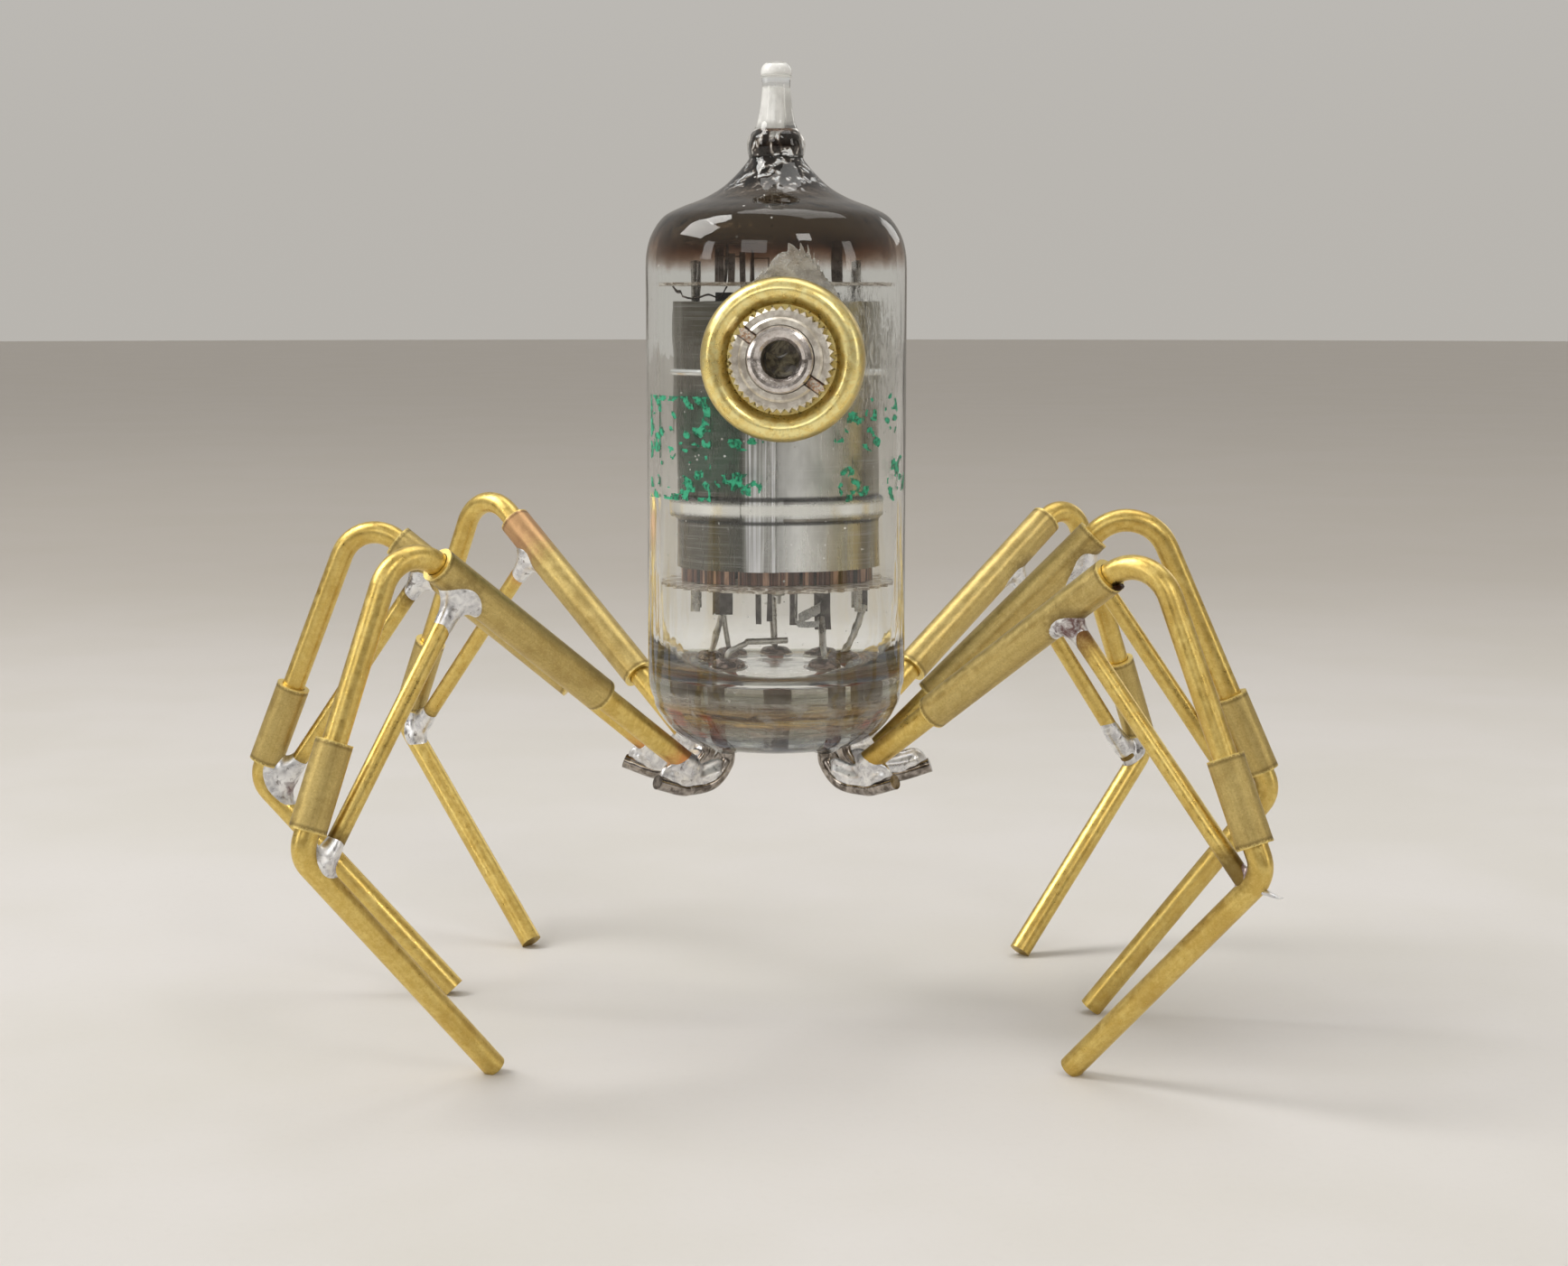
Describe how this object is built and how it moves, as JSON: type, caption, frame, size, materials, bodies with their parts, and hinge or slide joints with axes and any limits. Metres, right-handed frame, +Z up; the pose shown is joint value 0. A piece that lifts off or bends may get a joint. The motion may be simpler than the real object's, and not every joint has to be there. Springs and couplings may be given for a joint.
{
  "type": "electron tube spider figure",
  "caption": "Spider-like desk figure: a glass electron tube body with a knurled round eye, on bent brass rod legs with sleeves and soldered struts.",
  "frame": {"origin": "on the floor plane, in the middle of the figure's box; the axis of the glass tube stands 1.70 mm towards +X and 0.56 mm towards -Y of it", "axes": "+Z up along the tube, -Y the front, where the eye looks, +X the viewer's right when facing the eye"},
  "size_m": [0.0732, 0.0528, 0.0663],
  "materials": {
    "bulb_glass": null,
    "base_glass": "thick clear glass, greyish and slightly seeded",
    "pin_nickel": "dark tarnished nickel plated pin wire",
    "leg_brass": "lightly aged bare brass rod with scratches and dark specks",
    "strut_brass": "thin brass rod, heat-tinted near its ends",
    "sleeve_brass": "matte oxidised brass tube, olive brown",
    "solder": "bright tin solder, lumpy, with dark flux in its hollows",
    "shield_nickel": "thin pressed nickel sheet, satin, darkened",
    "plate_carbonised": "matte dark grey carbonised nickel",
    "mica": "thin clear brownish mica",
    "cathode_coating": "white oxide coating",
    "inner_nickel": "dull nickel wire and strip",
    "bezel_brass": "satin brass pressing with a worn bright crest",
    "eye_nickel": "bright nickel plate with brassy wear in the slots",
    "clear_glue": "clear hard glue, scuffed"
  },
  "bodies": {
    "frame": {"anode_plate": "plate_carbonised", "cathode_sleeve": "cathode_coating", "control_grid": "inner_nickel", "eye_barrel": "eye_nickel", "eye_bezel": "bezel_brass", "eye_glue": "clear_glue", "getter_ring": "inner_nickel", "glass_base": "base_glass", "glass_envelope": "bulb_glass", "heater": "cathode_coating", "inner_leads": "inner_nickel", "leg_rod_front_left": "leg_brass", "leg_rod_front_right": "leg_brass", "leg_rod_middle_left": "leg_brass", "leg_rod_middle_right": "leg_brass", "leg_rod_rear_left": "leg_brass", "leg_rod_rear_right": "leg_brass", "lower_mica": "mica", "lower_tabs": "inner_nickel", "pin_front_left": "pin_nickel", "pin_front_right": "pin_nickel", "pin_middle_left": "pin_nickel", "pin_middle_right": "pin_nickel", "pin_rear_centre": "pin_nickel", "pin_rear_left": "pin_nickel", "pin_rear_right": "pin_nickel", "screen_grid": "inner_nickel", "shield_left": "shield_nickel", "shield_right": "shield_nickel", "solder_front_left": "solder", "solder_front_right": "solder", "solder_middle_left": "solder", "solder_middle_right": "solder", "solder_rear_left": "solder", "solder_rear_right": "solder", "strut_front_left": "strut_brass", "strut_front_right": "strut_brass", "strut_middle_left": "strut_brass", "strut_middle_right": "strut_brass", "strut_rear_left": "strut_brass", "strut_rear_right": "strut_brass", "support_posts": "inner_nickel", "suppressor_grid": "inner_nickel", "upper_ears": "inner_nickel", "upper_mica": "mica", "upper_sleeve_front_left": "sleeve_brass", "upper_sleeve_front_right": "sleeve_brass", "upper_sleeve_middle_left": "sleeve_brass", "upper_sleeve_middle_right": "sleeve_brass", "upper_sleeve_rear_left": "sleeve_brass", "upper_sleeve_rear_right": "sleeve_brass"},
    "lower_sleeve_front_left": {"lower_sleeve_front_left": "sleeve_brass"},
    "lower_sleeve_front_right": {"lower_sleeve_front_right": "sleeve_brass"},
    "lower_sleeve_middle_left": {"lower_sleeve_middle_left": "sleeve_brass"},
    "lower_sleeve_middle_right": {"lower_sleeve_middle_right": "sleeve_brass"},
    "lower_sleeve_rear_left": {"lower_sleeve_rear_left": "sleeve_brass"},
    "lower_sleeve_rear_right": {"lower_sleeve_rear_right": "sleeve_brass"},
    "eye_ring_nut": {"eye_ring_nut": "eye_nickel"}
  },
  "joints": [
    {"name": "sleeve_slide_front_left", "type": "slide", "parent": "frame", "child": "lower_sleeve_front_left", "axis": [0.2743, 0.2293, 0.9339], "range_m": [0, 0.0096]},
    {"name": "sleeve_slide_front_right", "type": "slide", "parent": "frame", "child": "lower_sleeve_front_right", "axis": [-0.3016, 0.2469, 0.9209], "range_m": [0, 0.01]},
    {"name": "sleeve_slide_middle_left", "type": "slide", "parent": "frame", "child": "lower_sleeve_middle_left", "axis": [0.3699, -0.0626, 0.927], "range_m": [0, 0.0099]},
    {"name": "sleeve_slide_middle_right", "type": "slide", "parent": "frame", "child": "lower_sleeve_middle_right", "axis": [-0.4003, 0.0407, 0.9155], "range_m": [0, 0.0109]},
    {"name": "sleeve_slide_rear_left", "type": "slide", "parent": "frame", "child": "lower_sleeve_rear_left", "axis": [0.3207, -0.2749, 0.9064], "range_m": [0, 0.0104]},
    {"name": "sleeve_slide_rear_right", "type": "slide", "parent": "frame", "child": "lower_sleeve_rear_right", "axis": [-0.3016, -0.2112, 0.9297], "range_m": [0, 0.011]},
    {"name": "eye_nut_turn", "type": "hinge", "parent": "frame", "child": "eye_ring_nut", "pos_m": [0.00222, -0.00998, 0.0462], "axis": [-0.0871, -0.9959, 0.0262], "range_deg": [0, 576]}
  ]
}
